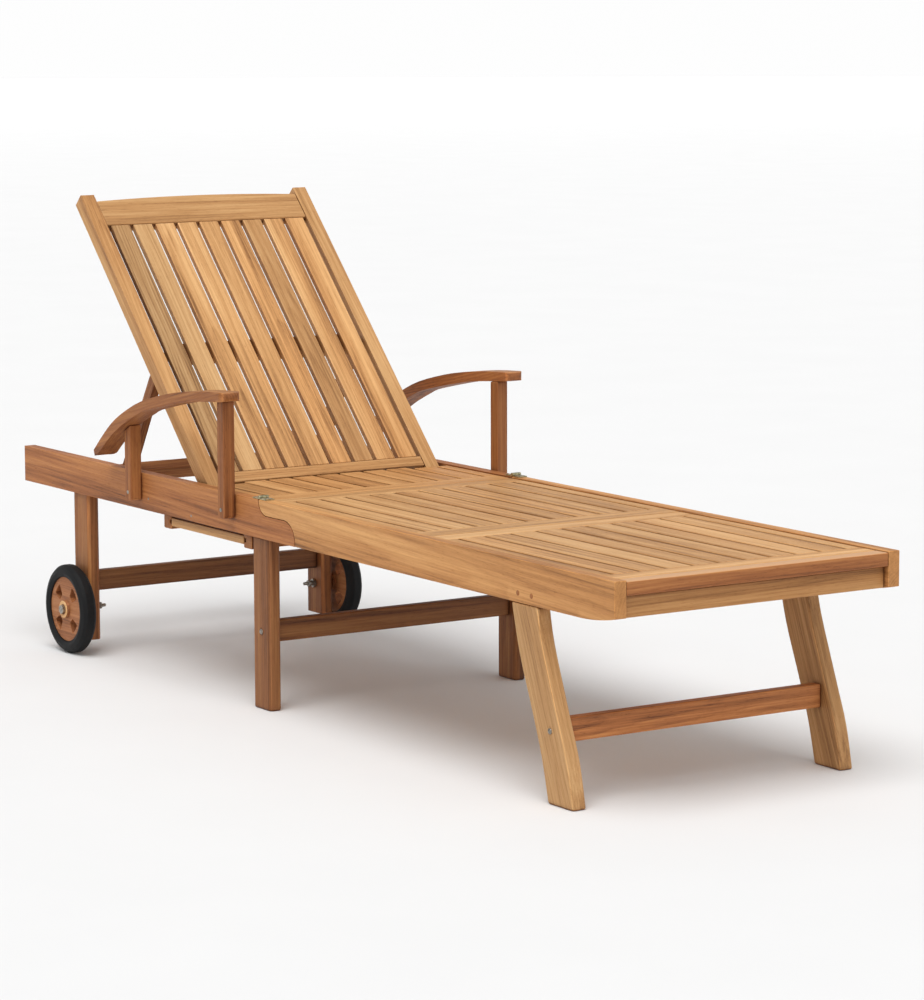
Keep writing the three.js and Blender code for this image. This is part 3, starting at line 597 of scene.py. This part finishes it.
# Profiles are radius and height above the face, in millimetres, from the rim in to the middle.
RECESS = ((7.5, 0.0), (7.4, 0.12), (5.6, 0.12), (5.4, 0.05), (0, 0.05))
BOLT_HEAD = ((4.8, 0.0), (4.7, 0.9), (4.0, 1.8), (2.8, 2.3), (2.2, 2.3), (1.9, 1.5), (0, 1.4))
SCREW_HEAD = ((3.6, 0.0), (3.5, 0.4), (2.6, 0.9), (1.3, 1.0), (1.1, 0.3), (0, 0.25))
HINGE_SCREW = ((2.5, 0.0), (2.4, 0.3), (1.7, 0.6), (1.0, 0.6), (0.8, 0.15), (0, 0.1))
PLUG = ((4.2, 0.0), (4.1, 0.25), (3.4, 0.4), (0, 0.45))
PIN = ((2.4, 0.0), (2.2, 0.4), (1.2, 0.7), (0, 0.75))
HUB_FACE = ((16.2, 0.0), (16.0, 0.25), (11.0, 0.25), (10.2, 0.25), (10.0, 0.0))
AXLE_END = ((6.5, 0.0), (6.5, 4.0), (5.6, 4.6), (3.2, 4.6), (3.1, 13.0), (2.3, 14.0), (0, 14.0))
ROUND = 20  # sides of a turned fitting
LEAF_THICK = 2 * MM
HINGE_BARREL = 3.2 * MM  # how far a hinge's knuckles reach past its pin
SCREWS_ALONG = (8 * MM, 17 * MM)  # from the hinge pin
SCREWS_ACROSS = 4.6 * MM  # from the middle of a leaf
POST_SCREW_UP = 15 * MM  # above the foot of a post
RAIL_PLUGS = (719 * MM, 756 * MM)  # x of the two dowels over each foot leg
RAIL_PLUG_UP = 15 * MM  # above the underside of the rail
RAIL_PINS = ((-475 * MM, 22 * MM), (-316 * MM, 10 * MM))  # x, and height above the underside


def turned(name, profile, at, axis, body, slot):
    """A fitting turned about an axis that stands out of the face it sits on."""
    axis = Vector(axis)
    across = axis.orthogonal().normalized()
    turns = [Matrix.Rotation(2 * math.pi * k / ROUND, 3, axis) @ across for k in range(ROUND)]
    bm = bmesh.new()
    rings = []
    for radius, height in profile:
        middle = Vector(at) + axis * height * MM
        if radius:
            rings.append([bm.verts.new(middle + way * radius * MM) for way in turns])
        else:
            rings.append([bm.verts.new(middle)] * ROUND)
    for outer, inner in zip(rings, rings[1:]):
        for k in range(ROUND):
            corners = [outer[k - 1], outer[k], inner[k], inner[k - 1]]
            bm.faces.new(list(dict.fromkeys(corners)))
    obj = piece(name, baked(name, bm), body, slot)
    soften(obj, TURNED_EDGE, 1)
    if slot.startswith("teak"):
        grain(obj)


def stretcher_bolts(stretcher, leg):
    """A bolt head in a ringed seat on the outside of each leg, at the end of a stretcher."""
    at = middle_of(stretcher)
    for name, side in SIDES:
        node = f"{leg}_{name}"
        face = (at.x, outer_y(node), at.z)
        out = (0, side, 0)
        turned(f"{node}_counterbore", RECESS, face, out, BODY_OF[node], SLOT_OF[node])
        turned(f"{node}_bolt_head", BOLT_HEAD, face, out, BODY_OF[node], "bolt_steel")


def post_screws(name, side):
    for post in (f"arm_post_front_{name}", f"arm_post_rear_{name}"):
        at = middle_of(post).x, outer_y(post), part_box(post)[0].z + POST_SCREW_UP
        turned(f"{post}_screw", SCREW_HEAD, at, (0, side, 0), BODY_OF[post], "bolt_steel")


def rail_plugs(name, side):
    rail = f"foot_rail_{name}"
    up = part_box(rail)[0].z + RAIL_PLUG_UP
    for i, x in enumerate(RAIL_PLUGS):
        at = x, outer_y(rail), up
        turned(f"{rail}_plug_{i + 1}", PLUG, at, (0, side, 0), BODY_OF[rail], "teak_red")


def rail_pins(name, side):
    rail = f"head_rail_{name}"
    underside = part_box(f"foot_rail_{name}")[0].z
    for i, (x, up) in enumerate(RAIL_PINS):
        at = x, outer_y(rail), underside + up
        turned(f"{rail}_pin_{i + 1}", PIN, at, (0, side, 0), BODY_OF[rail], "bolt_steel")


def hinge_screws(leaf, way):
    """Four screws in a leaf that reaches the given way along X from its pin."""
    low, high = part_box(leaf)
    pin_x = (high.x if way < 0 else low.x) + way * HINGE_BARREL
    top = low.z + LEAF_THICK
    for i, (along, across) in enumerate((a, c) for a in SCREWS_ALONG for c in (-1, 1)):
        at = pin_x + way * along, middle_of(leaf).y + across * SCREWS_ACROSS, top
        turned(f"{leaf}_screw_{i + 1}", HINGE_SCREW, at, (0, 0, 1), BODY_OF[leaf], "bolt_steel")


def wheel_fittings(name, side):
    """The turned face round the wheel's bolt, and the bolt's nut and thread inside the leg."""
    disc, bolt = f"wheel_disc_{name}", f"axle_bolt_{name}"
    hub = middle_of(disc)
    face = hub.x, outer_y(disc), hub.z
    turned(f"{disc}_hub_face", HUB_FACE, face, (0, side, 0), BODY_OF[disc], "teak_golden")
    low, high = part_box(bolt)
    end = hub.x, (high.y if side < 0 else low.y), hub.z
    turned(f"{bolt}_end", AXLE_END, end, (0, -side, 0), BODY_OF[bolt], "bolt_steel")


stretcher_bolts("mid_stretcher", "mid_leg")
stretcher_bolts("wheel_stretcher", "wheel_leg")
stretcher_bolts("foot_stretcher", "foot_leg")
for name, side in SIDES:
    post_screws(name, side)
    rail_plugs(name, side)
    rail_pins(name, side)
    hinge_screws(f"hinge_leaf_head_{name}", -1)
    hinge_screws(f"hinge_leaf_foot_{name}", 1)
    wheel_fittings(name, side)

# ---------------------------------------------------------------- floor, light and camera

FLOOR_SIZE = 100
WALL_FROM_MIDDLE = 45
WALL_HEIGHT = 14
WALL_SIDES = 96
WALL_GLOW = 0.95  # near the brightness of the lit floor
SKY = 0.43  # strength of the light from all round
KEY = (42, 68, 46, 2.25)  # azimuth and elevation it shines from, spread and strength
FILL = (95, 35, 50, 0.35)
CAMERA_AT = (5.272, -3.345, 1.235)
CAMERA_VIEW = (56.877, 8.029, -0.148)  # azimuth, elevation and roll
SENSOR = 36
LENS = 130.46


def set_up(name, bm, material):
    """Adds a piece of the studio, which is not part of the lounger."""
    mesh = baked(name, bm)
    mesh.materials.append(material)
    obj = bpy.data.objects.new(name, mesh)
    bpy.context.scene.collection.objects.link(obj)


def floor():
    t = Tree("floor")
    place = t.node("ShaderNodeTexCoord").outputs["Object"]
    tint = t.blend(t.noise(place, (3, 3, 3), 3.0), (0.79, 0.79, 0.79, 1), (0.82, 0.82, 0.82, 1))
    t.put(t.shader.inputs["Base Color"], tint)
    t.put(t.shader.inputs["Roughness"], 0.9)
    bm = bmesh.new()
    bmesh.ops.create_grid(bm, x_segments=1, y_segments=1, size=FLOOR_SIZE / 2)
    set_up("floor", bm, t.material)


def backdrop():
    """A white wall round the edge of the floor, so that low views have no horizon."""
    t = Tree("backdrop")
    t.put(t.shader.inputs["Base Color"], (0, 0, 0, 1))
    t.put(t.shader.inputs["Emission Color"], (1, 1, 1, 1))
    t.put(t.shader.inputs["Emission Strength"], WALL_GLOW)
    bm = bmesh.new()
    bmesh.ops.create_circle(bm, segments=WALL_SIDES, radius=WALL_FROM_MIDDLE)
    wall = bmesh.ops.extrude_edge_only(bm, edges=bm.edges[:])
    raised = [v for v in wall["geom"] if isinstance(v, bmesh.types.BMVert)]
    bmesh.ops.translate(bm, verts=raised, vec=(0, 0, WALL_HEIGHT))
    set_up("backdrop", bm, t.material)


def softbox(name, azimuth, elevation, spread, strength):
    """A broad soft light from one direction, given as the camera's views are."""
    light = bpy.data.lights.new(name, "SUN")
    light.energy = strength
    light.angle = math.radians(spread)
    obj = bpy.data.objects.new(name, light)
    bpy.context.scene.collection.objects.link(obj)
    obj.matrix_world = looking(azimuth, elevation).to_4x4()


def looking(azimuth, elevation, roll=0.0):
    """The turn of a camera or lamp that looks the way a view of that azimuth and elevation does."""
    a, e, r = (math.radians(angle) for angle in (azimuth, elevation, roll))
    forward = Vector((-math.sin(a) * math.cos(e), math.cos(a) * math.cos(e), -math.sin(e)))
    right = Vector((math.cos(a), math.sin(a), 0))
    up = right.cross(forward)
    across = math.cos(r) * right + math.sin(r) * up
    return Matrix((across, math.cos(r) * up - math.sin(r) * right, -forward)).transposed()


floor()
backdrop()
softbox("key", *KEY)
softbox("fill", *FILL)
world = bpy.data.worlds.new("studio")
world.use_nodes = True
world.node_tree.nodes["Background"].inputs["Color"].default_value = (1, 1, 1, 1)
world.node_tree.nodes["Background"].inputs["Strength"].default_value = SKY
bpy.context.scene.world = world
bpy.context.scene.view_settings.view_transform = "Standard"

camera = bpy.data.objects.new("camera", bpy.data.cameras.new("camera"))
camera.data.sensor_width = SENSOR
camera.data.lens = LENS
camera.data.clip_end = 2 * FLOOR_SIZE
camera.matrix_world = looking(*CAMERA_VIEW).to_4x4()
camera.location = CAMERA_AT
bpy.context.scene.collection.objects.link(camera)
bpy.context.scene.camera = camera
